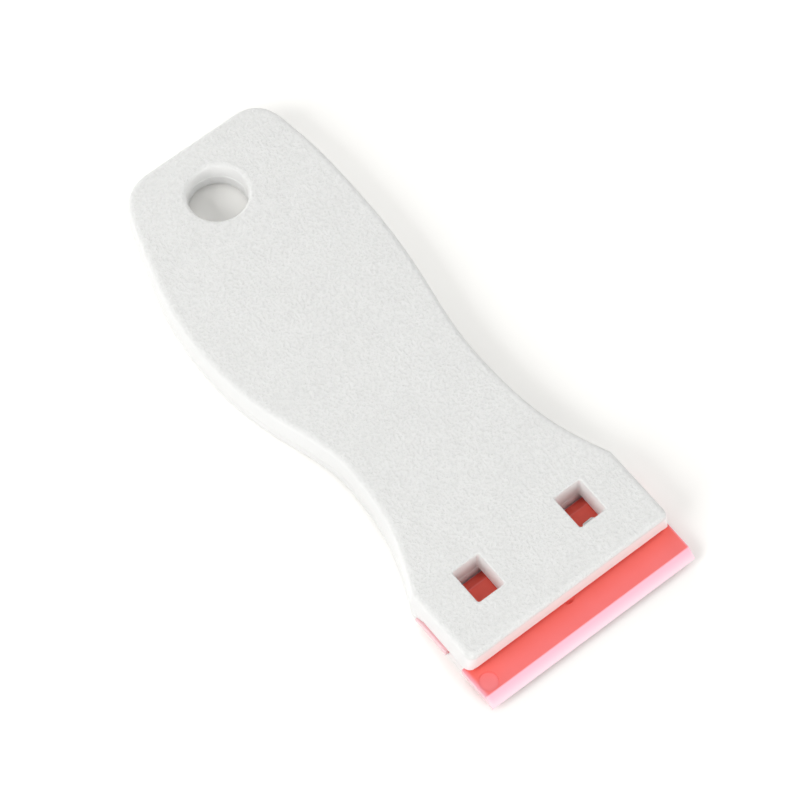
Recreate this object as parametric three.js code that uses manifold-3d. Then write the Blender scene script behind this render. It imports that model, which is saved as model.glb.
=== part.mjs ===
// Small plastic blade scraper: a two shell handle with a hang hole and two windows, and a double edged blade that
// slides into the slot between the shells.
//
// Millimetres, +Z up. The scraper lies on its flat underside at Z = 0. The blade points to -Y and the tail to +Y, and
// the origin is on the underside, midway between the front cutting edge and the tail edge.

import * as THREE from 'three';
import { mergeVertices } from 'three/addons/utils/BufferGeometryUtils.js';
import Module from 'manifold-3d';

const wasm = await Module();
wasm.setup();

// Whole scraper
const LENGTH = 104; // front cutting edge to tail edge
const HEAD_THICKNESS = 8; // underside to top face, at the front face
const TAIL_THICKNESS = 6.2; // underside to top face, at the tail edge
const PARTING_HEIGHT = 2.9; // underside to the joint between the two shells

// Blade
const BLADE_LENGTH = 40; // end to end, across the handle
const BLADE_WIDTH = 18.8; // cutting edge to cutting edge
const BLADE_THICKNESS = 1.5;
const BEVEL_WIDTH = 1.8;
const EDGE_THICKNESS = 0.16; // blunt nose of a moulded cutting edge
const NOTCH_WIDTH = 3.8;
const NOTCH_DEPTH = 2.2;
const BLADE_STANDOUT = 6.2; // cutting edge ahead of the handle's front face
const BLADE_END_STANDOUT = 0.3; // blade's end past the side of the head
const SLOT_CLEARANCE = 0.2; // above the blade, and below it
const STOP_CLEARANCE = 0.45; // behind the blade's rear edge

// Handle outline: half widths from the middle plane, and stations back from the front face
const SHOULDER_STATION = 13.8;
const RIGHT_WAIST = 14.2;
const RIGHT_WAIST_STATION = 39.8;
const RIGHT_SWELL = 17.8;
const RIGHT_SWELL_STATION = 74.2;
const RIGHT_TAIL = 15.9;
const RIGHT_TAIL_SLANT = 0.15; // sideways run of the side per millimetre of length, where it meets the tail
const LEFT_WAIST = 14;
const LEFT_WAIST_STATION = 36.3;
const LEFT_SWELL = 19.6;
const LEFT_SWELL_STATION = 64.8;
const LEFT_TAIL = 11.6;
const LEFT_TAIL_SLANT = 0.36;
const SHOULDER_SLANT = 0.45;
const CURVE_LEAVE = 0.3; // reach of a curve's first handle, as a share of its run
const CURVE_ARRIVE = 0.5; // reach of a curve's second handle, as a share of its run
const LEFT_FRONT_CORNER = 1.8;
const RIGHT_FRONT_CORNER = 1.5;
const TAIL_CORNER = 5.2;
const TOP_EDGE_ROUND = 1;
const BOTTOM_EDGE_ROUND = 0.6;
const SIDE_DRAFT = 0.25; // how far the sides lean out, from the top face or the underside to the joint

// Handle walls
const SIDE_WALL = 1.8;
const TOP_SKIN = 1.8;
const FLOOR = 1; // underside skin
const RIB = 1.5;

// Hang hole
const HOLE_DIAMETER = 10;
const HOLE_FROM_TAIL = 10.1; // tail edge to the hole's axis
const HOLE_ROUND = 0.7;
const SLEEVE_WALL = 1.6;

// Windows over the blade's rear edge
const WINDOW_WIDTH = 5.1;
const WINDOW_LENGTH = 6.4;
const WINDOW_SPACING = 19.9; // middle to middle
const WINDOW_STATION = 9.85; // front face to the windows' middle line
const FRAME_WALL = 1.3;

// Pegs of the upper shell, pressed into sockets of the lower shell
const PEG_DIAMETER = 3;
const PEG_REACH = 1.3; // below the joint between the shells
const PEG_CLEARANCE = 0.2;
const SOCKET_WALL = 1.1;
const SOCKET_DROP = 0.3; // socket's rim below the joint between the shells
const HEAD_PEG_SPACING = 25;
const HEAD_PEG_STATION = 19.5;
const GRIP_PEG_STATION = 58;
const TAIL_PEG_SPACING = 25;
const TAIL_PEG_FROM_TAIL = 20;

// Smoothness
const CURVE_STEPS = 10;
const ROUND_STEPS = 3;
const CIRCLE_STEPS = 36;
const PEG_STEPS = 16;

// Places that follow from the sizes
const FRONT_Y = BLADE_STANDOUT - LENGTH / 2;
const TAIL_Y = LENGTH / 2;
const HEAD_HALF = BLADE_LENGTH / 2 - BLADE_END_STANDOUT - SIDE_DRAFT;
const TOP_FALL = (HEAD_THICKNESS - TAIL_THICKNESS) / (TAIL_Y - FRONT_Y);
const HOLE_Y = TAIL_Y - HOLE_FROM_TAIL;
const HOLE_RADIUS = HOLE_DIAMETER / 2;
const SLEEVE_RADIUS = HOLE_RADIUS + SLEEVE_WALL;
const WINDOW_Y = FRONT_Y + WINDOW_STATION;
const BLADE_MIDDLE_Y = (BLADE_WIDTH - LENGTH) / 2;
const BLADE_TOP = PARTING_HEIGHT - SLOT_CLEARANCE;
const BLADE_MIDDLE_Z = BLADE_TOP - BLADE_THICKNESS / 2;
const JAW_TOP = BLADE_TOP - BLADE_THICKNESS - SLOT_CLEARANCE;
const STOP_Y = BLADE_MIDDLE_Y + BLADE_WIDTH / 2 + STOP_CLEARANCE;
const RIB_TOP = HEAD_THICKNESS - TOP_SKIN / 2;
const PEG_PLACES = [
  [-HEAD_PEG_SPACING / 2, FRONT_Y + HEAD_PEG_STATION],
  [HEAD_PEG_SPACING / 2, FRONT_Y + HEAD_PEG_STATION],
  [0, FRONT_Y + GRIP_PEG_STATION],
  [-TAIL_PEG_SPACING / 2, TAIL_Y - TAIL_PEG_FROM_TAIL],
  [TAIL_PEG_SPACING / 2, TAIL_Y - TAIL_PEG_FROM_TAIL],
];

// Margin by which a cutting tool runs past the face that it opens
const PAST = 2;

// Where the upper shell's inner walls start, to be trimmed at the joint between the shells
const INNER_LOW = PARTING_HEIGHT - PAST;

// Solid from a closed three.js geometry
function solid(geometry) {
  const bare = geometry.clone();
  bare.deleteAttribute('normal');
  bare.deleteAttribute('uv');
  const merged = mergeVertices(bare, 1e-4);
  return new wasm.Manifold(
    new wasm.Mesh({
      numProp: 3,
      vertProperties: new Float32Array(merged.attributes.position.array),
      triVerts: new Uint32Array(merged.index.array),
    }),
  );
}

// Mesh of a finished solid
function meshOf(name, body, material) {
  const { vertProperties, triVerts } = body.getMesh();
  const geometry = new THREE.BufferGeometry();
  geometry.setAttribute('position', new THREE.BufferAttribute(vertProperties, 3));
  geometry.setIndex(new THREE.BufferAttribute(triVerts, 1));
  geometry.computeVertexNormals();
  const mesh = new THREE.Mesh(geometry, material);
  mesh.name = name;
  return mesh;
}

// Box between two corners
function box(low, high) {
  const geometry = new THREE.BoxGeometry(high[0] - low[0], high[1] - low[1], high[2] - low[2]);
  return geometry.translate((low[0] + high[0]) / 2, (low[1] + high[1]) / 2, (low[2] + high[2]) / 2);
}

// Upright cylinder
function post(x, y, radius, low, high, steps) {
  const geometry = new THREE.CylinderGeometry(radius, radius, high - low, steps);
  geometry.rotateX(Math.PI / 2);
  return geometry.translate(x, y, (low + high) / 2);
}

// Everything above the joint between the shells falls with the top face, which slopes down to the tail
function sloped(geometry) {
  const position = geometry.attributes.position;
  for (let i = 0; i < position.count; i++) {
    if (position.getZ(i) > PARTING_HEIGHT) {
      position.setZ(i, position.getZ(i) - TOP_FALL * (position.getY(i) - FRONT_Y));
    }
  }
  return geometry;
}

// The sides lean out from the given face towards the joint between the shells
function drafted(geometry, face) {
  const position = geometry.attributes.position;
  for (let i = 0; i < position.count; i++) {
    const lean = SIDE_DRAFT * (position.getZ(i) - face) / (PARTING_HEIGHT - face);
    position.setX(i, position.getX(i) + Math.sign(position.getX(i)) * lean);
  }
  return geometry;
}

// One side of the outline, from the shoulder to the tail corner, as three curves that run on smoothly
function sideCurves(sign, waist, waistY, swell, swellY, tail, slant, tailY) {
  const shoulderY = FRONT_Y + SHOULDER_STATION;
  const start = { x: HEAD_HALF, y: shoulderY, slant: -SHOULDER_SLANT };
  const narrow = { x: waist, y: waistY, slant: 0 };
  const wide = { x: swell, y: swellY, slant: 0 };
  const end = { x: tail + slant * TAIL_CORNER, y: tailY - TAIL_CORNER, slant: -slant };
  return [[start, narrow], [narrow, wide], [wide, end]].map(([from, to]) => {
    const leave = CURVE_LEAVE * (to.y - from.y);
    const arrive = CURVE_ARRIVE * (to.y - from.y);
    return [
      new THREE.Vector2(sign * from.x, from.y),
      new THREE.Vector2(sign * (from.x + from.slant * leave), from.y + leave),
      new THREE.Vector2(sign * (to.x - to.slant * arrive), to.y - arrive),
      new THREE.Vector2(sign * to.x, to.y),
    ];
  });
}

// Plan outline of the handle, drawn in by the given distance
function handleOutline(inset) {
  const frontY = FRONT_Y + inset;
  const tailY = TAIL_Y - inset;
  const half = HEAD_HALF - inset;
  const trim = (curves, sign) => {
    for (const curve of curves) {
      for (const point of curve) {
        point.x -= sign * inset;
      }
    }
    return curves;
  };
  const right = trim(
    sideCurves(1, RIGHT_WAIST, FRONT_Y + RIGHT_WAIST_STATION, RIGHT_SWELL, FRONT_Y + RIGHT_SWELL_STATION,
      RIGHT_TAIL, RIGHT_TAIL_SLANT, tailY),
    1,
  );
  const left = trim(
    sideCurves(-1, LEFT_WAIST, FRONT_Y + LEFT_WAIST_STATION, LEFT_SWELL, FRONT_Y + LEFT_SWELL_STATION,
      LEFT_TAIL, LEFT_TAIL_SLANT, tailY),
    -1,
  );
  const shape = new THREE.Shape();
  shape.moveTo(LEFT_FRONT_CORNER - half, frontY);
  shape.lineTo(half - RIGHT_FRONT_CORNER, frontY);
  shape.quadraticCurveTo(half, frontY, half, frontY + RIGHT_FRONT_CORNER);
  shape.lineTo(right[0][0].x, right[0][0].y);
  for (const [, leave, arrive, to] of right) {
    shape.bezierCurveTo(leave.x, leave.y, arrive.x, arrive.y, to.x, to.y);
  }
  shape.quadraticCurveTo(RIGHT_TAIL - inset, tailY, RIGHT_TAIL - inset - TAIL_CORNER, tailY);
  shape.lineTo(TAIL_CORNER + inset - LEFT_TAIL, tailY);
  const leftEnd = left[2][3];
  shape.quadraticCurveTo(inset - LEFT_TAIL, tailY, leftEnd.x, leftEnd.y);
  for (const [to, arrive, leave] of left.reverse()) {
    shape.bezierCurveTo(leave.x, leave.y, arrive.x, arrive.y, to.x, to.y);
  }
  shape.lineTo(-half, frontY + LEFT_FRONT_CORNER);
  shape.quadraticCurveTo(-half, frontY, LEFT_FRONT_CORNER - half, frontY);
  return shape;
}

// Upright slab of the outline, with both its rims rounded
function roundedSlab(low, high, round) {
  const geometry = new THREE.ExtrudeGeometry(handleOutline(0), {
    depth: high - low - 2 * round,
    bevelEnabled: true,
    bevelThickness: round,
    bevelSize: round,
    bevelOffset: -round,
    bevelSegments: ROUND_STEPS,
    curveSegments: CURVE_STEPS,
  });
  return geometry.translate(0, 0, low + round);
}

// Upright slab of the outline drawn in by the wall
function coreSlab(low, high) {
  const geometry = new THREE.ExtrudeGeometry(handleOutline(SIDE_WALL), {
    depth: high - low,
    bevelEnabled: false,
    curveSegments: CURVE_STEPS,
  });
  return geometry.translate(0, 0, low);
}

// Half space above or below the joint between the shells, as a box
function beyondParting(above) {
  const reach = LENGTH;
  const low = above ? PARTING_HEIGHT : PARTING_HEIGHT - reach;
  return solid(box([-reach, -reach, low], [reach, reach, low + reach]));
}

// Tool for the hang hole: a bore that flares into a round rim at the top face and at the underside
function hangHoleTool() {
  const flare = HOLE_RADIUS + HOLE_ROUND;
  const profile = [new THREE.Vector2(0, -PAST), new THREE.Vector2(flare, -PAST)];
  for (let i = 0; i <= ROUND_STEPS; i++) {
    const turn = (i / ROUND_STEPS) * (Math.PI / 2);
    profile.push(new THREE.Vector2(flare - HOLE_ROUND * Math.sin(turn), HOLE_ROUND * (1 - Math.cos(turn))));
  }
  for (let i = 0; i <= ROUND_STEPS; i++) {
    const turn = (i / ROUND_STEPS) * (Math.PI / 2);
    const rise = HEAD_THICKNESS - HOLE_ROUND * (1 - Math.sin(turn));
    profile.push(new THREE.Vector2(flare - HOLE_ROUND * Math.cos(turn), rise));
  }
  profile.push(new THREE.Vector2(flare, HEAD_THICKNESS + PAST), new THREE.Vector2(0, HEAD_THICKNESS + PAST));
  const geometry = new THREE.LatheGeometry(profile, CIRCLE_STEPS);
  geometry.rotateX(Math.PI / 2);
  return solid(sloped(geometry.translate(0, HOLE_Y, 0)));
}

// Column of a window, grown by the given wall all round
function windowColumn(side, wall, low, high) {
  const x = side * WINDOW_SPACING / 2;
  const halfWidth = WINDOW_WIDTH / 2 + wall;
  const halfLength = WINDOW_LENGTH / 2 + wall;
  return solid(
    sloped(box([x - halfWidth, WINDOW_Y - halfLength, low], [x + halfWidth, WINDOW_Y + halfLength, high])),
  );
}

// Deep top half of the handle, with its window frames, hole sleeve, ribs and pegs
function upperShell() {
  const slab = roundedSlab(PARTING_HEIGHT - 2 * TOP_EDGE_ROUND, HEAD_THICKNESS, TOP_EDGE_ROUND);
  const outer = solid(sloped(drafted(slab, HEAD_THICKNESS))).subtract(beyondParting(false));
  const core = solid(sloped(coreSlab(INNER_LOW, HEAD_THICKNESS - TOP_SKIN)));
  const crossRib = solid(
    sloped(box([-LENGTH / 2, STOP_Y, INNER_LOW], [LENGTH / 2, STOP_Y + RIB, RIB_TOP])),
  );
  const spineRib = solid(
    sloped(box([-RIB / 2, STOP_Y + RIB / 2, INNER_LOW], [RIB / 2, HOLE_Y, RIB_TOP])),
  );
  const sleeve = solid(sloped(post(0, HOLE_Y, SLEEVE_RADIUS, INNER_LOW, RIB_TOP, CIRCLE_STEPS)));
  let inner = crossRib.add(spineRib).add(sleeve);
  for (const side of [-1, 1]) {
    inner = inner.add(windowColumn(side, FRAME_WALL, INNER_LOW, RIB_TOP));
  }
  let shell = outer.subtract(core).add(inner.intersect(outer));
  for (const [x, y] of PEG_PLACES) {
    const low = PARTING_HEIGHT - PEG_REACH;
    shell = shell.add(solid(sloped(post(x, y, PEG_DIAMETER / 2, low, RIB_TOP, PEG_STEPS))));
  }
  for (const side of [-1, 1]) {
    shell = shell.subtract(windowColumn(side, 0, INNER_LOW, HEAD_THICKNESS + PAST));
  }
  return shell.subtract(hangHoleTool());
}

// Shallow bottom half of the handle, with the lower jaw, the blade stop, the sockets and the foot of the hole sleeve
function lowerShell() {
  const slab = roundedSlab(0, PARTING_HEIGHT + 2 * BOTTOM_EDGE_ROUND, BOTTOM_EDGE_ROUND);
  const outer = solid(drafted(slab, 0)).subtract(beyondParting(true));
  const core = solid(coreSlab(FLOOR, PARTING_HEIGHT + PAST));
  const stop = solid(box([-LENGTH / 2, STOP_Y, FLOOR / 2], [LENGTH / 2, STOP_Y + RIB, PARTING_HEIGHT]));
  const sleeve = solid(post(0, HOLE_Y, SLEEVE_RADIUS, FLOOR / 2, PARTING_HEIGHT, CIRCLE_STEPS));
  let inner = stop.add(sleeve);
  for (const [x, y] of PEG_PLACES) {
    const radius = PEG_DIAMETER / 2 + PEG_CLEARANCE + SOCKET_WALL;
    inner = inner.add(solid(post(x, y, radius, FLOOR / 2, PARTING_HEIGHT - SOCKET_DROP, PEG_STEPS)));
  }
  let shell = outer.subtract(core).add(inner.intersect(outer));
  for (const [x, y] of PEG_PLACES) {
    const bore = PEG_DIAMETER / 2 + PEG_CLEARANCE;
    const bottom = PARTING_HEIGHT - PEG_REACH - PEG_CLEARANCE;
    shell = shell.subtract(solid(post(x, y, bore, bottom, PARTING_HEIGHT + PAST, PEG_STEPS)));
  }
  const mouth = box([-LENGTH / 2, FRONT_Y - PAST, JAW_TOP], [LENGTH / 2, STOP_Y, PARTING_HEIGHT + PAST]);
  return shell.subtract(solid(mouth)).subtract(hangHoleTool());
}

// Double edged blade: a bar with a flat underside, a bevel on top of both long edges, and a notch in each end
function scraperBlade() {
  const edge = BLADE_WIDTH / 2;
  const crease = edge - BEVEL_WIDTH;
  const face = BLADE_THICKNESS / 2;
  const nose = EDGE_THICKNESS - face;
  const section = new THREE.Shape([
    new THREE.Vector2(-edge, -face),
    new THREE.Vector2(edge, -face),
    new THREE.Vector2(edge, nose),
    new THREE.Vector2(crease, face),
    new THREE.Vector2(-crease, face),
    new THREE.Vector2(-edge, nose),
  ]);
  const bar = new THREE.ExtrudeGeometry(section, { depth: BLADE_LENGTH, bevelEnabled: false });
  const across = new THREE.Matrix4().makeBasis(
    new THREE.Vector3(0, 1, 0),
    new THREE.Vector3(0, 0, 1),
    new THREE.Vector3(1, 0, 0),
  );
  bar.translate(0, 0, -BLADE_LENGTH / 2).applyMatrix4(across);
  let blade = solid(bar.translate(0, BLADE_MIDDLE_Y, BLADE_MIDDLE_Z));
  for (const side of [-1, 1]) {
    const inner = side * (BLADE_LENGTH / 2 - NOTCH_DEPTH);
    const outer = side * (BLADE_LENGTH / 2 + PAST);
    const low = [Math.min(inner, outer), BLADE_MIDDLE_Y - NOTCH_WIDTH / 2, -PAST];
    const high = [Math.max(inner, outer), BLADE_MIDDLE_Y + NOTCH_WIDTH / 2, PARTING_HEIGHT + PAST];
    blade = blade.subtract(solid(box(low, high)));
  }
  return blade;
}

const handlePlastic = new THREE.MeshStandardMaterial({ color: 0xe6e7e5, roughness: 0.55, metalness: 0 });
const coverPlastic = new THREE.MeshStandardMaterial({ color: 0xe4e5e3, roughness: 0.5, metalness: 0 });
const bladePlastic = new THREE.MeshStandardMaterial({ color: 0xe03a34, roughness: 0.35, metalness: 0 });

const scraper = new THREE.Group();
scraper.add(meshOf('handle_upper_shell', upperShell(), handlePlastic));
scraper.add(meshOf('handle_lower_shell', lowerShell(), coverPlastic));
scraper.add(meshOf('scraper_blade', scraperBlade(), bladePlastic));

export default scraper;
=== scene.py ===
"""Looks of a small plastic blade scraper on a pale studio floor.

A two shell handle holds a red double edged blade. The meshes are modelled in millimetres, in the frame of the
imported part, and scaled to metres when they are finished.
"""

import logging
import math
from dataclasses import dataclass
from enum import Enum

import bmesh
import bpy
from mathutils import Matrix, Vector
from mathutils.geometry import interpolate_bezier


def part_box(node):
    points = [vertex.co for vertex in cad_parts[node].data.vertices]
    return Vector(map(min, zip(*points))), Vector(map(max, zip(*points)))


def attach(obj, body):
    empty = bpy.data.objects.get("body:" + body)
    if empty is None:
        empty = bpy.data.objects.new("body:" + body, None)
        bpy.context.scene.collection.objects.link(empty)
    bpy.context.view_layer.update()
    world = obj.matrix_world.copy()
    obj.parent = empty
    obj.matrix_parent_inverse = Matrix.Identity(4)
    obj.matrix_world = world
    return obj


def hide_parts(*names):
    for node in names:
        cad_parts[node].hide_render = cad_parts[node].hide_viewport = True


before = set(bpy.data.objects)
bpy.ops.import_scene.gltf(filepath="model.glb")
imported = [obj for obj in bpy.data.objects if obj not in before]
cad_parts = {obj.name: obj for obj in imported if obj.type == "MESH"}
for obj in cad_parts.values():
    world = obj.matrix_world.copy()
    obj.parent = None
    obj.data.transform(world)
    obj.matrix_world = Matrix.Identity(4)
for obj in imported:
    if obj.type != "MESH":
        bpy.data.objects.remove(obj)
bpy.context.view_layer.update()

LOG = logging.getLogger("scraper")
MM = 0.001
MERGE_MM = 0.0005
PAST_MM = 2.0
STRAIGHT = math.radians(0.5)
SHARP = math.radians(32)
ROUNDED = math.radians(25)
EDGE_STEPS = 2
WELL_PAST = 4
NOISE_MEAN = 0.5
NOISE_ROUGHNESS = 0.55

Colour = tuple[float, float, float]
Triple = tuple[float, float, float]
Span = tuple[float, float]
Settings = dict[str, object]
Sockets = dict[str | int, object]


class Side(Enum):
    """Side of the handle's middle plane, as the sign of X."""

    LEFT = -1
    RIGHT = 1


class GrainFace(Enum):
    """Face of a shell that carries the pebbled grain."""

    TOP = "top"
    UNDERSIDE = "underside"


def span_mm(node: str) -> tuple[Vector, Vector]:
    """Corners of a CAD node.

    Args:
        node: Name of the node.

    Returns:
        Its lowest and highest corner, in millimetres.
    """
    low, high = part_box(node)
    return low / MM, high / MM


# Mesh work

class Workpiece:
    """A closed mesh under work, in millimetres, that tools are cut out of."""

    def __init__(self, name: str, bm: bmesh.types.BMesh) -> None:
        """Takes over a bmesh.

        Args:
            name: Name of the piece.
            bm: Closed mesh in millimetres, which is freed.
        """
        bmesh.ops.remove_doubles(bm, verts=bm.verts, dist=MERGE_MM)
        bmesh.ops.recalc_face_normals(bm, faces=bm.faces)
        mesh = bpy.data.meshes.new(name)
        bm.to_mesh(mesh)
        bm.free()
        self.obj = bpy.data.objects.new(name, mesh)
        bpy.context.scene.collection.objects.link(self.obj)

    def bake_modifiers(self) -> None:
        """Replaces the mesh by what its modifiers make of it."""
        graph = bpy.context.evaluated_depsgraph_get()
        mesh = bpy.data.meshes.new_from_object(self.obj.evaluated_get(graph))
        self.obj.modifiers.clear()
        self.obj.data = mesh

    def cut(self, *tools: "Workpiece") -> "Workpiece":
        """Cuts tools out of the piece and removes them.

        Args:
            tools: Closed meshes to take away.

        Returns:
            The piece itself.
        """
        for tool in tools:
            cutter = self.obj.modifiers.new("cut", "BOOLEAN")
            cutter.operation = "DIFFERENCE"
            cutter.solver = "EXACT"
            cutter.object = tool.obj
            self.bake_modifiers()
            bpy.data.objects.remove(tool.obj)
        return self

    def round_edges(self, radius: float) -> None:
        """Rounds all sharp edges of the piece.

        Args:
            radius: Radius of the rounds, in millimetres.
        """
        rounding = self.obj.modifiers.new("round", "BEVEL")
        rounding.width = radius
        rounding.segments = EDGE_STEPS
        rounding.limit_method = "ANGLE"
        rounding.angle_limit = ROUNDED
        self.bake_modifiers()

    def finish(self, body: str, slot: str, material: bpy.types.Material, node: str | None = None) -> None:
        """Scales the piece to metres, smooths its shading, dresses it and puts it on its body.

        Args:
            body: CAD body that the piece moves with.
            slot: Material slot of the record; not used.
            material: Finish of the piece.
            node: CAD node that the piece stands for, if any.
        """
        bm = bmesh.new()
        bm.from_mesh(self.obj.data)
        bmesh.ops.remove_doubles(bm, verts=bm.verts, dist=MERGE_MM)
        bmesh.ops.dissolve_degenerate(bm, edges=bm.edges, dist=MERGE_MM)
        spare = [
            vert for vert in bm.verts
            if len(vert.link_edges) == 2 and vert.calc_edge_angle(1.0) < STRAIGHT
        ]
        bmesh.ops.dissolve_verts(bm, verts=spare)
        bmesh.ops.transform(bm, matrix=Matrix.Scale(MM, 4), verts=bm.verts)
        for face in bm.faces:
            face.smooth = True
        bm.to_mesh(self.obj.data)
        bm.free()
        self.obj.data.set_sharp_from_angle(angle=SHARP)
        weighted = self.obj.modifiers.new("flat_faces", "WEIGHTED_NORMAL")
        weighted.keep_sharp = True
        self.bake_modifiers()
        self.obj.data.materials.clear()
        self.obj.data.materials.append(material)
        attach(self.obj, body)
        if node:
            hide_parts(node)
        LOG.info("%s: %d faces on %s", self.obj.name, len(self.obj.data.polygons), body)


def block(name: str, low: Triple, high: Triple) -> Workpiece:
    """Box between two corners.

    Args:
        name: Name of the piece.
        low: Lowest corner, in millimetres.
        high: Highest corner, in millimetres.

    Returns:
        The box as a workpiece.
    """
    bm = bmesh.new()
    size = Vector(high) - Vector(low)
    place = Matrix.Translation((Vector(low) + Vector(high)) / 2)
    bmesh.ops.create_cube(bm, size=1.0, matrix=place @ Matrix.Diagonal((*size, 1.0)))
    return Workpiece(name, bm)


def slab_mesh(foot: list[Vector], low: float, lid: list[Vector], high: float) -> bmesh.types.BMesh:
    """Upright slab between two plan outlines with as many points.

    Args:
        foot: Outline of the lower face.
        low: Height of the lower face.
        lid: Outline of the upper face.
        high: Height of the upper face.

    Returns:
        The slab's mesh.
    """
    bm = bmesh.new()
    rims: list[bmesh.types.BMEdge] = []
    for outline, height in ((foot, low), (lid, high)):
        face = bm.faces.new([bm.verts.new((point.x, point.y, height)) for point in outline])
        rims += face.edges
    bmesh.ops.bridge_loops(bm, edges=rims)
    bmesh.ops.recalc_face_normals(bm, faces=bm.faces)
    return bm


def prism(name: str, outline: list[Vector], run: Vector) -> Workpiece:
    """Solid made by drawing a flat outline along a straight line.

    Args:
        name: Name of the piece.
        outline: Corners of the first end.
        run: Way from the first end to the other.

    Returns:
        The prism as a workpiece.
    """
    bm = bmesh.new()
    end = bm.faces.new([bm.verts.new(corner) for corner in outline])
    raised = bmesh.ops.extrude_face_region(bm, geom=[end])["geom"]
    far_end = [item for item in raised if isinstance(item, bmesh.types.BMVert)]
    bmesh.ops.translate(bm, verts=far_end, vec=run)
    return Workpiece(name, bm)


def round_off(bm: bmesh.types.BMesh, edges: list[bmesh.types.BMEdge], radius: float, steps: int) -> None:
    """Rounds edges of a mesh.

    Args:
        bm: Mesh to change.
        edges: Edges to round.
        radius: Radius of the round.
        steps: Number of facets across it.
    """
    bmesh.ops.bevel(
        bm, geom=edges, offset=radius, offset_type="OFFSET", segments=steps, profile=0.5, affect="EDGES",
        clamp_overlap=False, material=-1,
    )


def round_level(bm: bmesh.types.BMesh, height: float, radius: float, steps: int) -> None:
    """Rounds all edges that lie at one height.

    Args:
        bm: Mesh to change.
        height: Height of the edges.
        radius: Radius of the round.
        steps: Number of facets across it.
    """
    rim = [edge for edge in bm.edges if all(abs(vert.co.z - height) < MERGE_MM for vert in edge.verts)]
    round_off(bm, rim, radius, steps)


# Handle

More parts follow.
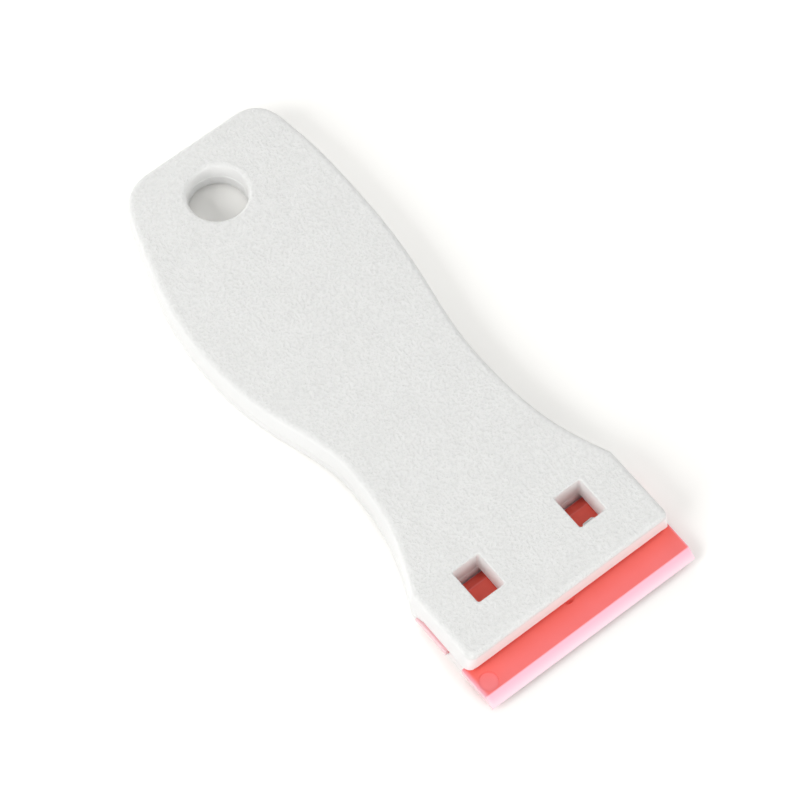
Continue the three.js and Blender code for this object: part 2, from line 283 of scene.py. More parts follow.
@dataclass(frozen=True)
class HandleSizes:
    """Sizes of the handle, in millimetres: half widths, and stations back from the front face."""

    front_y: float
    tail_y: float
    head_half: float
    left_swell: float
    parting: float
    blade_rear_y: float
    head_thickness: float = 8.0
    tail_thickness: float = 6.2
    shoulder_station: float = 13.8
    shoulder_slant: float = 0.45
    right_waist: float = 14.2
    right_waist_station: float = 39.8
    right_swell: float = 17.8
    right_swell_station: float = 74.2
    right_tail: float = 15.9
    right_tail_slant: float = 0.15
    left_waist: float = 14.0
    left_waist_station: float = 36.3
    left_swell_station: float = 64.8
    left_tail: float = 11.6
    left_tail_slant: float = 0.36
    curve_leave: float = 0.3
    curve_arrive: float = 0.5
    left_front_corner: float = 1.8
    right_front_corner: float = 1.5
    right_lip_corner: float = 0.4
    tail_corner: float = 5.2
    side_draft: float = 0.25
    top_round: float = 1.0
    top_steps: int = 7
    bottom_round: float = 0.6
    bottom_steps: int = 5
    joint_round: float = 0.15
    joint_steps: int = 2
    side_wall: float = 1.8
    top_skin: float = 1.8
    floor: float = 1.0
    jaw_top: float = 1.0
    jaw_chamfer: float = 0.6
    slot_relief: float = 0.3
    slot_half: float = 18.6
    rib: float = 1.5
    stop_clearance: float = 0.15
    stop_foot: float = 0.38
    lip_rise: float = 0.8
    lip_run: float = 0.3
    cheek_x: float = 14.0
    cheek_run: float = 1.75
    hole_radius: float = 5.0
    hole_from_tail: float = 10.1
    hole_round: float = 0.7
    hole_round_steps: int = 6
    hole_segments: int = 72
    sleeve_wall: float = 1.6
    sleeve_segments: int = 48
    window_width: float = 5.1
    window_length: float = 6.4
    window_spacing: float = 19.9
    window_station: float = 9.85
    window_corner: float = 0.4
    window_corner_steps: int = 4
    window_round: float = 0.3
    window_round_steps: int = 5
    frame_wall: float = 1.3
    flash_x: float = 9.4
    flash_low: float = 2.95
    flash_thickness: float = 0.35
    flash_round: float = 0.08
    flash_plan: tuple[Span, ...] = (
        (0.0, -0.3), (2.25, -0.3), (2.25, 1.5), (1.85, 1.8), (0.15, 1.72), (0.0, 1.5),
    )
    curve_points: int = 28
    front_corner_points: int = 8
    tail_corner_points: int = 20

    @classmethod
    def from_frame(cls) -> "HandleSizes":
        """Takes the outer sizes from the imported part.

        Returns:
            The handle's sizes.
        """
        low, high = span_mm("handle_upper_shell")
        joint = span_mm("handle_lower_shell")[1].z
        blade_rear = span_mm("scraper_blade")[1].y
        return cls(low.y, high.y, high.x - cls.side_draft, -low.x - cls.side_draft, joint, blade_rear)

    @property
    def fall(self) -> float:
        """Drop of the top face per millimetre towards the tail."""
        return (self.head_thickness - self.tail_thickness) / (self.tail_y - self.front_y)

    @property
    def reach(self) -> float:
        """Length that goes past the handle's sides."""
        return 2 * self.head_half

    @property
    def hole_y(self) -> float:
        """Place of the hang hole's axis."""
        return self.tail_y - self.hole_from_tail

    @property
    def window_y(self) -> float:
        """Middle line of the windows."""
        return self.front_y + self.window_station

    @property
    def window_rear_y(self) -> float:
        """Rear wall of the windows."""
        return self.window_y + self.window_length / 2

    @property
    def stop_y(self) -> float:
        """Front face of the stop behind the blade."""
        return self.blade_rear_y + self.stop_clearance

    def top_at(self, y: float) -> float:
        """Height of the top face at a place along the handle."""
        return self.head_thickness - self.fall * (y - self.front_y)

    def slope(self, bm: bmesh.types.BMesh) -> None:
        """Lets everything near the top face fall with it towards the tail.

        Args:
            bm: Mesh to change.
        """
        shear = Matrix.Identity(4)
        shear[2][1] = -self.fall
        shear[2][3] = self.fall * self.front_y
        level = (self.parting + self.head_thickness) / 2
        above = [vert for vert in bm.verts if vert.co.z > level]
        bmesh.ops.transform(bm, matrix=shear, verts=above)

    def side_knots(self, side: Side, inset: float, lean: float) -> list[tuple[Vector, float]]:
        """Knots of one side, from the shoulder to the tail corner.

        Args:
            side: Side of the handle.
            inset: Distance that the outline is drawn in by.
            lean: Distance that the side leans out by.

        Returns:
            Each knot's place and its sideways run per millimetre of length.
        """
        if side is Side.RIGHT:
            waist, waist_station = self.right_waist, self.right_waist_station
            swell, swell_station = self.right_swell, self.right_swell_station
            tail, slant = self.right_tail, self.right_tail_slant
        else:
            waist, waist_station = self.left_waist, self.left_waist_station
            swell, swell_station = self.left_swell, self.left_swell_station
            tail, slant = self.left_tail, self.left_tail_slant
        sign = side.value
        end_y = self.tail_y - inset - self.tail_corner
        halves = (
            (self.head_half, self.front_y + self.shoulder_station, -self.shoulder_slant),
            (waist, self.front_y + waist_station, 0.0),
            (swell, self.front_y + swell_station, 0.0),
            (tail + slant * self.tail_corner, end_y, -slant),
        )
        return [(Vector((sign * (half - inset + lean), y)), sign * run) for half, y, run in halves]

    def side_points(self, side: Side, inset: float, lean: float) -> list[Vector]:
        """Points of one side, from the shoulder to the tail corner.

        Args:
            side: Side of the handle.
            inset: Distance that the outline is drawn in by.
            lean: Distance that the side leans out by.

        Returns:
            Points along three curves that run on smoothly.
        """
        knots = self.side_knots(side, inset, lean)
        points: list[Vector] = []
        for (start, leave_run), (end, arrive_run) in zip(knots, knots[1:]):
            leave = self.curve_leave * (end.y - start.y)
            arrive = self.curve_arrive * (end.y - start.y)
            first = start + Vector((leave_run, 1)) * leave
            second = end - Vector((arrive_run, 1)) * arrive
            points += interpolate_bezier(start, first, second, end, self.curve_points)[:-1]
        return points + [knots[-1][0]]

    def corner_points(self, start: Vector, corner: Vector, end: Vector, count: int) -> list[Vector]:
        """Rounded corner without its first point.

        Args:
            start: Where the round begins.
            corner: Sharp corner that it replaces.
            end: Where the round ends.
            count: Number of points, both ends counted.

        Returns:
            The points after the start, with the end.
        """
        share = 2 / 3
        return interpolate_bezier(start, start.lerp(corner, share), end.lerp(corner, share), end, count)[1:]

    def outline(self, inset: float = 0.0, lean: float = 0.0, corner: float | None = None) -> list[Vector]:
        """Plan outline of the handle.

        Args:
            inset: Distance that the outline is drawn in by.
            lean: Distance that the sides lean out by.
            corner: Size of the right front corner, if it isn't the usual one.

        Returns:
            Points anticlockwise from the front left corner.
        """
        half = self.head_half - inset + lean
        front = self.front_y + inset
        tail = self.tail_y - inset
        near = self.left_front_corner
        far = corner or self.right_front_corner
        right = self.side_points(Side.RIGHT, inset, lean)
        left = self.side_points(Side.LEFT, inset, lean)[::-1]
        right_tail = Vector((self.right_tail - inset + lean, tail))
        left_tail = Vector((inset - lean - self.left_tail, tail))
        reach = Vector((self.tail_corner, 0))
        few, many = self.front_corner_points, self.tail_corner_points
        points = [Vector((near - half, front)), Vector((half - far, front))]
        points += self.corner_points(points[-1], Vector((half, front)), Vector((half, front + far)), few)
        points += right
        points += self.corner_points(right[-1], right_tail, right_tail - reach, many)
        points.append(left_tail + reach)
        points += self.corner_points(points[-1], left_tail, left[0], many)
        points += left[1:]
        points.append(Vector((-half, front + near)))
        points += self.corner_points(points[-1], Vector((-half, front)), points[0], few)[:-1]
        return points

    def joint_outline(self) -> list[Vector]:
        """Plan outline at the joint between the shells, where the sides lean out furthest."""
        return self.outline(0.0, self.side_draft, self.right_lip_corner)


class Handle:
    """Handle of the scraper: the upper and the lower shell."""

    def __init__(self, sizes: HandleSizes) -> None:
        """Keeps the sizes."""
        self.sizes = sizes

    def core(self, low: float, high: float, sloped: bool) -> Workpiece:
        """Hollow of a shell before its inner walls are taken out of it.

        Args:
            low: Height of the lower face.
            high: Height of the upper face.
            sloped: Whether the upper face falls with the top of the handle.

        Returns:
            The hollow as a tool.
        """
        outline = self.sizes.outline(self.sizes.side_wall)
        bm = slab_mesh(outline, low, outline, high)
        if sloped:
            self.sizes.slope(bm)
        return Workpiece("core", bm)

    def sleeve(self) -> Workpiece:
        """Wall around the hang hole, as a tool that keeps it out of a hollow.

        Returns:
            The sleeve's outer cylinder.
        """
        s = self.sizes
        radius = s.hole_radius + s.sleeve_wall
        bm = bmesh.new()
        bmesh.ops.create_cone(
            bm, cap_ends=True, segments=s.sleeve_segments, radius1=radius, radius2=radius,
            depth=WELL_PAST * s.head_thickness, matrix=Matrix.Translation((0, s.hole_y, 0)),
        )
        return Workpiece("sleeve", bm)

    def cross_wall(self) -> Workpiece:
        """Wall across the handle behind the blade, as a tool that keeps it out of a hollow.

        Returns:
            The wall.
        """
        s = self.sizes
        return block("cross_wall", (-s.reach, s.stop_y, -s.reach), (s.reach, s.stop_y + s.rib, s.reach))

    def spine_rib(self) -> Workpiece:
        """Rib along the middle of the upper shell, as a tool that keeps it out of a hollow.

        Returns:
            The rib.
        """
        s = self.sizes
        return block("spine_rib", (-s.rib / 2, s.stop_y, -s.reach), (s.rib / 2, s.hole_y, s.reach))

    def window_frame(self, side: Side) -> Workpiece:
        """Wall around a window, as a tool that keeps it out of a hollow.

        Args:
            side: Side that the window is on.

        Returns:
            The frame's outer box.
        """
        s = self.sizes
        middle = side.value * s.window_spacing / 2
        half_x = s.window_width / 2 + s.frame_wall
        half_y = s.window_length / 2 + s.frame_wall
        low = (middle - half_x, s.window_y - half_y, -s.reach)
        high = (middle + half_x, s.window_y + half_y, s.reach)
        return block("window_frame", low, high)

    def window_tool(self, side: Side) -> Workpiece:
        """Window opening with round corners that flares into a round rim at the top face.

        Args:
            side: Side that the window is on.

        Returns:
            The opening as a tool.
        """
        s = self.sizes
        middle = Vector((side.value * s.window_spacing / 2, s.window_y, 0))
        low = s.parting - PAST_MM
        neck = s.head_thickness - s.window_round
        bm = bmesh.new()
        size = (s.window_width, s.window_length, neck - low, 1.0)
        place = Matrix.Translation((0, 0, (neck + low) / 2))
        bmesh.ops.create_cube(bm, size=1.0, matrix=place @ Matrix.Diagonal(size))
        upright = [edge for edge in bm.edges if abs(edge.verts[0].co.z - edge.verts[1].co.z) > s.window_round]
        round_off(bm, upright, s.window_corner, s.window_corner_steps)
        lid = max(bm.faces, key=lambda face: face.calc_center_median().z)
        steps = s.window_round_steps
        spread = 0.0
        height = neck
        turns = [math.radians(90 * i / steps) for i in range(1, steps + 1)]
        stages = [
            (s.window_round * (1 - math.cos(turn)), neck + s.window_round * math.sin(turn)) for turn in turns
        ]
        stages.append((s.window_round, s.head_thickness + PAST_MM))
        for wider, higher in stages:
            raised = bmesh.ops.extrude_face_region(bm, geom=[lid])["geom"]
            verts = [item for item in raised if isinstance(item, bmesh.types.BMVert)]
            faces = [item for item in raised if isinstance(item, bmesh.types.BMFace)]
            bmesh.ops.delete(bm, geom=[lid], context="FACES_ONLY")
            lid = faces[0]
            grow = Vector((
                (s.window_width / 2 + wider) / (s.window_width / 2 + spread),
                (s.window_length / 2 + wider) / (s.window_length / 2 + spread),
                1.0,
            ))
            bmesh.ops.scale(bm, verts=verts, vec=grow)
            bmesh.ops.translate(bm, verts=verts, vec=(0, 0, higher - height))
            spread, height = wider, higher
        bmesh.ops.translate(bm, verts=bm.verts, vec=middle)
        s.slope(bm)
        return Workpiece("window", bm)

    def hole_tool(self) -> Workpiece:
        """Hang hole with a round rim at both faces and a fine groove at the joint between the shells.

        Returns:
            The hole as a tool.
        """
        s = self.sizes
        flare = s.hole_radius + s.hole_round
        steps = s.hole_round_steps
        turns = [math.radians(90 * i / steps) for i in range(steps + 1)]
        profile = [(0.0, -PAST_MM), (flare, -PAST_MM)]
        profile += [(flare - s.hole_round * math.sin(t), s.hole_round * (1 - math.cos(t))) for t in turns]
        profile += [
            (s.hole_radius, s.parting - s.joint_round),
            (s.hole_radius + s.joint_round, s.parting),
            (s.hole_radius, s.parting + s.joint_round),
        ]
        top = s.head_thickness
        profile += [
            (flare - s.hole_round * math.cos(t), top - s.hole_round * (1 - math.sin(t))) for t in turns
        ]
        profile += [(flare, top + PAST_MM), (0.0, top + PAST_MM)]
        bm = bmesh.new()
        chain = [bm.verts.new((x, s.hole_y, z)) for x, z in profile]
        edges = [bm.edges.new(pair) for pair in zip(chain, chain[1:])]
        bmesh.ops.spin(
            bm, geom=chain + edges, cent=(0, s.hole_y, 0), axis=(0, 0, 1), angle=2 * math.pi,
            steps=s.hole_segments, use_merge=True, use_duplicate=False,
        )
        s.slope(bm)
        return Workpiece("hole", bm)

    def upper_shell(self, material: bpy.types.Material) -> None:
        """Deep top half with the windows.

        Args:
            material: Finish of the shell.
        """
        s = self.sizes
        bm = slab_mesh(s.joint_outline(), s.parting, s.outline(), s.head_thickness)
        round_level(bm, s.head_thickness, s.top_round, s.top_steps)
        round_level(bm, s.parting, s.joint_round, s.joint_steps)
        s.slope(bm)
        hollow = self.core(s.parting - PAST_MM, s.head_thickness - s.top_skin, True)
        hollow.cut(self.cross_wall(), self.spine_rib(), self.sleeve())
        hollow.cut(*(self.window_frame(side) for side in Side))
        shell = Workpiece("upper_shell", bm)
        shell.cut(hollow, self.relief())
        shell.cut(*(self.window_tool(side) for side in Side))
        shell.cut(self.hole_tool())
        shell.finish("handle", "handle_top", material, "handle_upper_shell")

    def lower_shell(self, material: bpy.types.Material) -> None:
        """Shallow bottom half with the lower jaw and the blade stop.

        Args:
            material: Finish of the shell.
        """
        s = self.sizes
        bm = slab_mesh(s.outline(), 0.0, s.joint_outline(), s.parting)
        round_level(bm, 0.0, s.bottom_round, s.bottom_steps)
        round_level(bm, s.parting, s.joint_round, s.joint_steps)
        hollow = self.core(s.floor, s.parting + PAST_MM, False)
        hollow.cut(self.cross_wall(), self.sleeve())
        shell = Workpiece("lower_shell", bm)
        shell.cut(hollow, self.mouth(s.cheek_x, s.lip_run, s.window_rear_y))
        shell.cut(self.mouth(s.reach, s.cheek_run, s.stop_y - s.cheek_run), self.hole_tool())
        shell.cut(*(self.jaw_end(side) for side in Side))
        shell.finish("handle", "handle_bottom", material, "handle_lower_shell")

    def mouth(self, reach: float, run: float, rear: float) -> Workpiece:
        """Slot for the blade, as a tool.

        Args:
            reach: Half length of the slot.
            run: Distance that a lip reaches forward from the stop over the blade's bevel.
            rear: Place of the slot's rear edge at the joint between the shells.

        Returns:
            The slot.
        """
        s = self.sizes
        front = s.front_y - PAST_MM
        foot = s.jaw_top + s.stop_foot
        section = (
            (front, s.jaw_top), (s.stop_y, s.jaw_top), (s.stop_y, foot),
            (s.stop_y - run, foot + s.lip_rise * run), (rear, s.parting),
            (rear, s.parting + PAST_MM), (front, s.parting + PAST_MM),
        )
        return prism("mouth", [Vector((-reach, y, z)) for y, z in section], Vector((2 * reach, 0, 0)))

    def relief(self) -> Workpiece:
        """Step along the front of the upper shell that leaves a thin dark line over the blade.

        Returns:
            The step as a tool.
        """
        s = self.sizes
        low = (-s.slot_half, s.front_y - PAST_MM, s.parting - PAST_MM)
        high = (s.slot_half, s.front_y + s.side_wall + PAST_MM, s.parting + s.slot_relief)
        return block("relief", low, high)

    def jaw_end(self, side: Side) -> Workpiece:
        """Slope at one end of the lower jaw, as a tool.

        Args:
            side: End that the slope is at.

        Returns:
            A wedge along the slot's end.
        """
        s = self.sizes
        inner = s.head_half + s.side_draft - s.jaw_chamfer
        outer = inner + PAST_MM
        top = s.parting + PAST_MM
        section = ((inner, s.jaw_top), (outer, s.jaw_top - PAST_MM), (outer, top), (inner, top))
        rear = s.stop_y - s.cheek_run
        corners = [Vector((side.value * x, s.front_y - PAST_MM, z)) for x, z in section]
        return prism("jaw_end", corners, Vector((0, rear - s.front_y + PAST_MM, 0)))

    def window_flash(self, material: bpy.types.Material) -> None:
        """Thin tongue of mould flash at the foot of the right window's front wall.

        Args:
            material: Finish of the upper shell.
        """
        s = self.sizes
        root = s.window_y - s.window_length / 2
        corner = Vector((s.flash_x, root, s.flash_low))
        outline = [corner + Vector((x, y, 0.0)) for x, y in s.flash_plan]
        tongue = prism("window_flash", outline, Vector((0, 0, s.flash_thickness)))
        tongue.round_edges(s.flash_round)
        tongue.finish("handle", "handle_top", material)

    def build(self, top_finish: bpy.types.Material, bottom_finish: bpy.types.Material) -> None:
        """Makes both shells.

        Args:
            top_finish: Finish of the upper shell.
            bottom_finish: Finish of the lower shell.
        """
        self.upper_shell(top_finish)
        self.window_flash(top_finish)
        self.lower_shell(bottom_finish)


# Blade

@dataclass(frozen=True)
class BladeSizes:
    """Sizes of the blade, in millimetres."""

    low: Vector
    high: Vector
    bevel_width: float = 1.8
    nose: float = 0.16
    notch_width: float = 3.8
    notch_depth: float = 2.2
    notch_corner: float = 0.6
    notch_corner_steps: int = 5
    edge_round: float = 0.06
    pin_mark: Span = (-17.93, -48.5)
    pin_mark_radius: float = 1.55
    pin_mark_depth: float = 0.12
    pin_mark_segments: int = 32
    gate_mark: Span = (0.0, -45.95)
    gate_mark_size: Triple = (0.8, 0.4, 0.4)
    gate_mark_segments: int = 24
    gate_mark_rings: int = 12

    @classmethod
    def from_frame(cls) -> "BladeSizes":
        """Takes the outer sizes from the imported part."""
        return cls(*span_mm("scraper_blade"))

    @property
    def middle(self) -> Vector:
        """Middle of the blade."""
        return (self.low + self.high) / 2


class Blade:
    """Double edged blade with a notch in each end."""

    def __init__(self, sizes: BladeSizes) -> None:
        """Keeps the sizes."""
        self.sizes = sizes

    def bar(self) -> Workpiece:
        """Bar with a flat underside and a bevel on top of both long edges.

        Returns:
            The bar.
        """
        s = self.sizes
        half = (s.high - s.low) / 2
        crease = half.y - s.bevel_width
        nose = s.nose - half.z
        section = (
            (-half.y, -half.z), (half.y, -half.z), (half.y, nose),
            (crease, half.z), (-crease, half.z), (-half.y, nose),
        )
        outline = [s.middle + Vector((-half.x, y, z)) for y, z in section]
        return prism("blade", outline, Vector((2 * half.x, 0, 0)))

    def pin_mark(self) -> Workpiece:
        """Shallow round mark of an ejector pin.

        Returns:
            The mark as a tool.
        """
        s = self.sizes
        bm = bmesh.new()
        place = Matrix.Translation((*s.pin_mark, s.high.z - s.pin_mark_depth + PAST_MM / 2))
        bmesh.ops.create_cone(
            bm, cap_ends=True, segments=s.pin_mark_segments, radius1=s.pin_mark_radius,
            radius2=s.pin_mark_radius, depth=PAST_MM, matrix=place,
        )
        return Workpiece("pin_mark", bm)

    def gate_mark(self) -> Workpiece:
        """Small dimple where the mould was filled.

        Returns:
            The dimple as a tool.
        """
        s = self.sizes
        bm = bmesh.new()
        place = Matrix.Translation((*s.gate_mark, s.high.z)) @ Matrix.Diagonal((*s.gate_mark_size, 1.0))
        bmesh.ops.create_uvsphere(
            bm, u_segments=s.gate_mark_segments, v_segments=s.gate_mark_rings, radius=1.0, matrix=place
        )
        return Workpiece("gate_mark", bm)

    def notch(self, side: Side) -> Workpiece:
        """Notch in one end, with round inner corners.

        Args:
            side: End that the notch is in.

        Returns:
            The notch as a tool.
        """
        s = self.sizes
        reach = s.notch_depth + PAST_MM
        inner = s.high.x - s.notch_depth
        bm = bmesh.new()
        size = (reach, s.notch_width, WELL_PAST * (s.high.z - s.low.z), 1.0)
        bmesh.ops.create_cube(bm, size=1.0, matrix=Matrix.Diagonal(size))
        inner_edges = [
            edge for edge in bm.edges
            if all(vert.co.x * side.value < 0 for vert in edge.verts)
            and abs(edge.verts[0].co.z - edge.verts[1].co.z) > MERGE_MM
        ]
        round_off(bm, inner_edges, s.notch_corner, s.notch_corner_steps)
        place = Vector((side.value * (inner + reach / 2), s.middle.y, s.middle.z))
        bmesh.ops.translate(bm, verts=bm.verts, vec=place)
        return Workpiece("notch", bm)

    def build(self, material: bpy.types.Material) -> None:
        """Makes the blade.

        Args:
            material: Finish of the blade.
        """
        piece = self.bar()
        piece.cut(*(self.notch(side) for side in Side))
        piece.round_edges(self.sizes.edge_round)
        piece.cut(self.pin_mark(), self.gate_mark())
        piece.finish("blade", "blade", material, "scraper_blade")


# Shader nodes

class Value:
    """A shader socket that takes part in Python expressions."""

    def __init__(self, graph: "ShaderGraph", socket: bpy.types.NodeSocket) -> None:
        """Wraps an output socket of a graph."""
        self.graph = graph
        self.socket = socket

    def _math(self, operation: str, first: "Value | float", second: "Value | float") -> "Value":
        """Adds one Math node."""
        node = self.graph.node("ShaderNodeMath", {"operation": operation}, {0: first, 1: second})
        return Value(self.graph, node.outputs[0])

    def __add__(self, other: "Value | float") -> "Value":
        """Sum."""
        return self._math("ADD", self, other)

    def __sub__(self, other: "Value | float") -> "Value":
        """Difference."""
        return self._math("SUBTRACT", self, other)

    def __rsub__(self, other: float) -> "Value":
        """Difference from a number."""
        return self._math("SUBTRACT", other, self)

    def __mul__(self, other: "Value | float") -> "Value":
        """Product."""
        return self._math("MULTIPLY", self, other)

    def root(self) -> "Value":
        """Square root."""
        return self._math("SQRT", self, 0.0)

    def step(self, low: float, high: float) -> "Value":
        """Smooth step.

        Args:
            low: Value where the step starts at 0.
            high: Value where it ends at 1.

        Returns:
            The step.
        """
        node = self.graph.node(
            "ShaderNodeMapRange", {"interpolation_type": "SMOOTHSTEP"},
            {"Value": self, "From Min": low, "From Max": high, "To Min": 0.0, "To Max": 1.0},
        )
        return Value(self.graph, node.outputs["Result"])

    def rise(self, start: float, span: Span) -> "Value":
        """Smooth step of a length in metres over a span in millimetres.

        Args:
            start: Place that the span is measured from, in millimetres.
            span: Where the step starts and ends.

        Returns:
            The step.
        """
        return self.step((start + span[0]) * MM, (start + span[1]) * MM)


class ShaderGraph:
    """Node tree of one material or of the world, filled by node()."""

    def __init__(self, owner: bpy.types.Material | bpy.types.World) -> None:
        """Empties the tree of its owner.

        Args:
            owner: Material or world to be filled.
        """
        owner.use_nodes = True
        self.tree = owner.node_tree
        self.tree.nodes.clear()

    def node(self, kind: str, settings: Settings, sockets: Sockets) -> bpy.types.Node:
        """Adds a node.

        Args:
            kind: Type of the node.
            settings: Its properties, set before the sockets.
            sockets: Values or links of its input sockets, by name or place.

        Returns:
            The node.
        """
        node = self.tree.nodes.new(kind)
        for name, setting in settings.items():
            setattr(node, name, setting)
        for name, value in sockets.items():
            if isinstance(value, Value):
                self.tree.links.new(value.socket, node.inputs[name])
            elif isinstance(value, bpy.types.NodeSocket):
                self.tree.links.new(value, node.inputs[name])
            else:
                node.inputs[name].default_value = value
        return node

    def value(self, kind: str, output: str | int, settings: Settings, sockets: Sockets) -> Value:
        """Adds a node and takes one of its outputs.

        Args:
            kind: Type of the node.
            output: Name or place of the output.
            settings: Its properties.
            sockets: Its inputs.

        Returns:
            The output as a value.
        """
        return Value(self, self.node(kind, settings, sockets).outputs[output])

    def coordinates(self) -> tuple[Value, Value, Value, Value]:
        """Object coordinates.

        Returns:
            The vector and its three parts.
        """
        point = self.value("ShaderNodeTexCoord", "Object", {}, {})
        parts = self.node("ShaderNodeSeparateXYZ", {}, {0: point})
        return point, *(Value(self, output) for output in parts.outputs)

    def noise(self, point: Value, grain: float, detail: float = 2.0) -> Value:
        """Noise with spots of a given size.

        Args:
            point: Coordinates.
            grain: Size of the spots, in metres.
            detail: Number of finer layers.

        Returns:
            The noise, about 0.5 in the mean.
        """
        return self.value(
            "ShaderNodeTexNoise", 0, {"normalize": True},
            {"Vector": point, "Scale": 1 / grain, "Detail": detail, "Roughness": NOISE_ROUGHNESS},
        )

    def blend(self, share: Value, first: object, second: object) -> Value:
        """Mix of two colours.

        Args:
            share: Share of the second colour.
            first: Colour, or a value that holds one.
            second: Colour, or a value that holds one.

        Returns:
            The mixed colour.
        """
        return self.value(
            "ShaderNodeMix", 2, {"data_type": "RGBA"}, {0: share, 6: opaque(first), 7: opaque(second)}
        )

    def surface(self, shader: bpy.types.NodeSocket) -> None:
        """Links a shader to the output of a material."""
        self.node("ShaderNodeOutputMaterial", {}, {"Surface": shader})


def opaque(colour: object) -> object:
    """Colour with an alpha of 1, or a value as it is."""
    return (*colour, 1.0) if isinstance(colour, tuple) else colour


# Finishes

@dataclass(frozen=True)
class PebbledPlastic:
    """Pale grey moulded plastic with a pebbled flat face and smooth walls; the pebbled face carries painted
    shade of its grain.
    """

    name: str
    face: GrainFace
    sizes: HandleSizes
    smooth: Colour = (0.90, 0.90, 0.89)
    # The pebbled face's two colours are painted shade: darker than the smooth walls, and darkest in the
    # grain's hollows.
    shaded_pebble: Colour = (0.84, 0.842, 0.828)
    pit_shade: Colour = (0.78, 0.782, 0.768)
    grain: float = 0.52 * MM
    grain_height: float = 0.26 * MM
    grain_detail: float = 3.0
    mottle: float = 4.68 * MM
    mottle_span: Span = (0.35, 0.65)
    mottle_share: float = 0.2
    hollow_shade_span: Span = (0.32, 0.62)
    hollow_shade_share: float = 0.8
    fade_span: Span = (-0.8, -0.08)
    front_span: Span = (0.6, 2.0)
    front_reach: float = 0.9 * MM
    smooth_roughness: float = 0.3
    pebble_roughness: float = 0.66
    ior: float = 1.42

    def depth(self, y: Value, z: Value) -> Value:
        """Depth under the pebbled face, in metres, as a negative number.

        Along the front of the top face it counts from lower down, because the grain runs over that edge.

        Args:
            y: Coordinate along the handle.
            z: Height.

        Returns:
            The depth.
        """
        if self.face is GrainFace.UNDERSIDE:
            return 0.0 - z
        at_front = 1 - y.rise(self.sizes.front_y, self.front_span)
        return z + y * self.sizes.fall - self.sizes.top_at(0.0) * MM + at_front * self.front_reach

    def make(self) -> bpy.types.Material:
        """Makes the material.

        Returns:
            The material.
        """
        material = bpy.data.materials.new(self.name)
        graph = ShaderGraph(material)
        point, _, y, z = graph.coordinates()
        on_face = self.depth(y, z).rise(0.0, self.fade_span)
        pebbles = graph.noise(point, self.grain, self.grain_detail)
        mottle = graph.noise(point, self.mottle)
        height = (pebbles - NOISE_MEAN) * on_face
        normal = graph.value(
            "ShaderNodeBump", 0, {}, {"Strength": 1.0, "Distance": self.grain_height, "Height": height}
        )
        # Painted shade in the grain's hollows, mixed with random mottled tone.
        hollow_shade = 1 - pebbles.step(*self.hollow_shade_span)
        mottle_and_hollow_shade = mottle.step(*self.mottle_span) * self.mottle_share + hollow_shade * self.hollow_shade_share
        colour = graph.blend(on_face, self.smooth, graph.blend(mottle_and_hollow_shade, self.shaded_pebble, self.pit_shade))
        spread = self.pebble_roughness - self.smooth_roughness
        roughness = on_face * spread + self.smooth_roughness
        shader = graph.node(
            "ShaderNodeBsdfPrincipled", {},
            {"Base Color": colour, "Roughness": roughness, "Normal": normal, "IOR": self.ior},
        )
        graph.surface(shader.outputs[0])
        return material


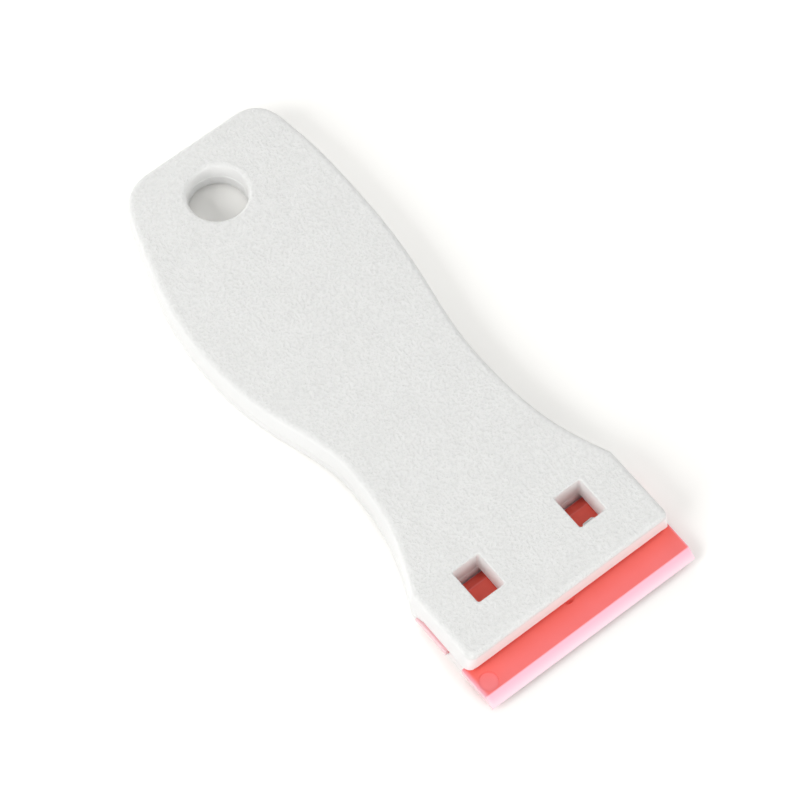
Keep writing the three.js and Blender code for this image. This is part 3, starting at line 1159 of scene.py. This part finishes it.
@dataclass(frozen=True)
class BladePlastic:
    """Red moulded plastic with painted glow: its thin bevels and ends, where light would shine through, are
    painted pink and pale.

    Spans are in millimetres, from the crease of a bevel, from its edge or from the end of the blade.
    """

    name: str
    sizes: BladeSizes
    red: Colour = (0.98, 0.12, 0.082)
    # pink, pale and end are colours of painted glow, where light would shine through the thin plastic.
    pink: Colour = (0.97, 0.50, 0.62)
    pale: Colour = (0.98, 0.70, 0.78)
    end: Colour = (0.97, 0.68, 0.71)
    bevel_span: Span = (-0.12, 0.22)
    rear_edge_span: Span = (-0.3, 0.0)
    rear_edge_share: float = 0.7
    pale_start: float = 0.3
    left_end_span: Span = (-0.9, 0.1)
    left_end_share: float = 0.75
    right_end_span: Span = (-0.35, 0.0)
    right_end_share: float = 0.5
    glow_span: Span = (-6.5, 0.0)
    glow_share: float = 0.2
    glint_half: float = 0.25
    glint_share: float = 0.12
    pin_rim: float = 0.15
    pin_share: float = 0.11
    rear_corner_span: Span = (-0.6, -0.3)
    rear_half_span: Span = (0.5, 1.5)
    end_face_span: Span = (-0.06, -0.03)
    end_face_share: float = 0.7
    end_foot_share: float = 0.3
    cloud: float = 4 * MM
    cloud_share: float = 0.06
    cloud_roughness: float = 0.1
    flow: float = 0.35 * MM
    flow_height: float = 0.004 * MM
    flow_strength: float = 0.35
    roughness: float = 0.37
    ior: float = 1.5

    def pin_distance(self, x: Value, y: Value) -> Value:
        """Distance from the ejector pin's mark in plan, in millimetres.

        Args:
            x: Coordinate along the blade.
            y: Coordinate across it.

        Returns:
            The distance.
        """
        aside = x * (1 / MM) - self.sizes.pin_mark[0]
        along = y * (1 / MM) - self.sizes.pin_mark[1]
        return (aside * aside + along * along).root()

    def make(self) -> bpy.types.Material:
        """Makes the material.

        Returns:
            The material.
        """
        material = bpy.data.materials.new(self.name)
        graph = ShaderGraph(material)
        point, x, y, z = graph.coordinates()
        edge = (self.sizes.high.y - self.sizes.low.y) / 2
        crease = edge - self.sizes.bevel_width
        end = self.sizes.high.x
        pin = self.sizes.pin_mark_radius
        left = 0.0 - x
        ahead = self.sizes.middle.y * MM - y
        behind = 0.0 - ahead
        # Painted glow: the front bevel turns pink with a pale edge, and the rear edge turns pale, as if light
        # shone through.
        bevel_glow = ahead.rise(crease, self.bevel_span)
        thin = behind.rise(edge, self.rear_edge_span) * self.rear_edge_share
        edge_glow = ahead.step((crease + self.pale_start) * MM, edge * MM)
        # Painted glow at both ends, stronger at the left end on the lamp's side.
        left_end_glow = left.rise(end, self.left_end_span) * self.left_end_share
        ends = left_end_glow + x.rise(end, self.right_end_span) * self.right_end_share
        # Painted glow over the front flat, and a painted glint along the rear crease.
        glow = ahead.rise(crease, self.glow_span) * self.glow_share
        past_crease = behind.rise(crease, (0.0, self.glint_half))
        glint = behind.rise(crease, (-self.glint_half, 0.0)) * (1 - past_crease)
        disc = 1 - self.pin_distance(x, y).step(pin - self.pin_rim, pin)
        # Painted glow on the left end face and the rear left corner, paler still at the foot of the end face.
        rear_corner_glow = left.rise(end, self.rear_corner_span) * behind.rise(0.0, self.rear_half_span)
        faces = left.rise(end, self.end_face_span) + rear_corner_glow
        foot = 1 - z.step(self.sizes.low.z * MM, self.sizes.high.z * MM)
        cloud = graph.noise(point, self.cloud)
        flow = graph.noise(point, self.flow)
        # The red takes the painted glow and glint, the pin mark's lighter disc and random cloud tone.
        marks = disc * self.pin_share + glint * self.glint_share
        share = ends + glow + thin + marks + (cloud - NOISE_MEAN) * self.cloud_share
        body = graph.blend(share, self.red, self.pink)
        bevel = graph.blend(edge_glow + ends, self.pink, self.pale)
        end_glow_share = faces * (foot * self.end_foot_share + self.end_face_share)
        colour = graph.blend(end_glow_share, graph.blend(bevel_glow, body, bevel), self.end)
        roughness = (cloud - NOISE_MEAN) * self.cloud_roughness + self.roughness
        normal = graph.value(
            "ShaderNodeBump", 0, {},
            {"Strength": self.flow_strength, "Distance": self.flow_height, "Height": flow},
        )
        shader = graph.node(
            "ShaderNodeBsdfPrincipled", {},
            {"Base Color": colour, "Roughness": roughness, "Normal": normal, "IOR": self.ior},
        )
        graph.surface(shader.outputs[0])
        return material


# Studio

@dataclass(frozen=True)
class Lamp:
    """Brightness that a lamp gives a white face square to it, and the direction from the object to it."""

    name: str
    level: float
    toward: Triple


@dataclass(frozen=True)
class Studio:
    """Pale floor, soft light from the left, and a camera at the photograph's angle."""

    floor_half: float = 1.5
    floor_pale: Colour = (0.64, 0.64, 0.635)
    floor_seen: Colour = (1.14, 1.13, 1.10)
    sky: float = 0.22
    lamp_distance: float = 0.7
    lamp_size: float = 0.5
    lamps: tuple[Lamp, ...] = (
        Lamp("key_lamp", 0.68, (-0.84, 0.0, 0.54)),
        Lamp("front_lamp", 0.56, (0.05, -0.94, 0.34)),
        Lamp("tail_lamp", 0.52, (0.0, 0.94, 0.34)),
        Lamp("right_lamp", 0.28, (0.87, 0.0, 0.50)),
        Lamp("top_lamp", 0.05, (0.0, 0.1, 0.99)),
    )
    lens: float = 180.0
    sensor: float = 36.0
    clip_near: float = 0.01
    clip_far: float = 20.0
    azimuth: float = -39.178
    elevation: float = 63.724
    roll: float = 0.711
    distance: float = 620.595 * MM
    target: Triple = (0.574 * MM, -3.812 * MM, 4.0 * MM)

    def floor(self) -> None:
        """Makes the floor, which looks white where light reaches it and keeps the shadow."""
        material = bpy.data.materials.new("studio_floor")
        graph = ShaderGraph(material)
        path = graph.node("ShaderNodeLightPath", {}, {})
        seen = Value(graph, path.outputs["Is Camera Ray"])
        for name in ("Is Glossy Ray", "Is Transmission Ray"):
            seen = seen + Value(graph, path.outputs[name])
        share = graph.value("ShaderNodeClamp", 0, {}, {0: seen})
        colour = graph.blend(share, self.floor_pale, self.floor_seen)
        shader = graph.node("ShaderNodeBsdfDiffuse", {}, {"Color": colour})
        graph.surface(shader.outputs[0])
        bm = bmesh.new()
        bmesh.ops.create_grid(bm, x_segments=1, y_segments=1, size=self.floor_half)
        mesh = bpy.data.meshes.new("floor")
        bm.to_mesh(mesh)
        bm.free()
        mesh.materials.append(material)
        obj = bpy.data.objects.new("floor", mesh)
        bpy.context.scene.collection.objects.link(obj)

    def world(self) -> None:
        """Sets an even sky that the camera sees as white."""
        world = bpy.data.worlds.new("studio_sky")
        bpy.context.scene.world = world
        graph = ShaderGraph(world)
        path = graph.node("ShaderNodeLightPath", {}, {})
        seen = Value(graph, path.outputs["Is Camera Ray"])
        strength = seen * (1 - self.sky) + self.sky
        sky = graph.node("ShaderNodeBackground", {}, {"Color": (1.0, 1.0, 1.0, 1.0), "Strength": strength})
        graph.node("ShaderNodeOutputWorld", {}, {"Surface": sky.outputs[0]})

    def light(self, lamp: Lamp) -> None:
        """Adds a soft square light that faces the object.

        Args:
            lamp: Lamp to add.
        """
        data = bpy.data.lights.new(lamp.name, "AREA")
        data.shape = "SQUARE"
        data.size = self.lamp_size
        data.energy = lamp.level * math.pi**2 * self.lamp_distance**2
        obj = bpy.data.objects.new(lamp.name, data)
        direction = Vector(lamp.toward).normalized()
        obj.location = direction * self.lamp_distance
        obj.rotation_mode = "QUATERNION"
        obj.rotation_quaternion = direction.to_track_quat("Z", "Y")
        bpy.context.scene.collection.objects.link(obj)

    def camera(self) -> None:
        """Puts the camera where the photograph was taken from."""
        azimuth, elevation, roll = (math.radians(a) for a in (self.azimuth, self.elevation, self.roll))
        flat = math.cos(elevation)
        back = Vector((math.sin(azimuth) * flat, -math.cos(azimuth) * flat, math.sin(elevation)))
        right = Vector((math.cos(azimuth), math.sin(azimuth), 0.0))
        up = back.cross(right)
        across = math.cos(roll) * right + math.sin(roll) * up
        upright = math.cos(roll) * up - math.sin(roll) * right
        place = Vector(self.target) + self.distance * back
        data = bpy.data.cameras.new("photo_camera")
        data.lens = self.lens
        data.sensor_width = self.sensor
        data.clip_start = self.clip_near
        data.clip_end = self.clip_far
        camera = bpy.data.objects.new("photo_camera", data)
        turn = Matrix((across, upright, back)).transposed().to_4x4()
        camera.matrix_world = Matrix.Translation(place) @ turn
        bpy.context.scene.collection.objects.link(camera)
        bpy.context.scene.camera = camera

    def build(self) -> None:
        """Makes the whole studio."""
        self.floor()
        self.world()
        for lamp in self.lamps:
            self.light(lamp)
        self.camera()
        bpy.context.scene.view_settings.view_transform = "Standard"


# Scene


def main() -> None:
    """Builds the studio and dresses the scraper."""
    logging.basicConfig(level=logging.INFO, format="%(name)s: %(message)s")
    Studio().build()
    handle_sizes = HandleSizes.from_frame()
    blade_sizes = BladeSizes.from_frame()
    top = PebbledPlastic("handle_top_plastic", GrainFace.TOP, handle_sizes).make()
    bottom = PebbledPlastic("handle_bottom_plastic", GrainFace.UNDERSIDE, handle_sizes).make()
    Handle(handle_sizes).build(top, bottom)
    Blade(blade_sizes).build(BladePlastic("red_blade_plastic", blade_sizes).make())


if __name__ == "__main__":
    main()
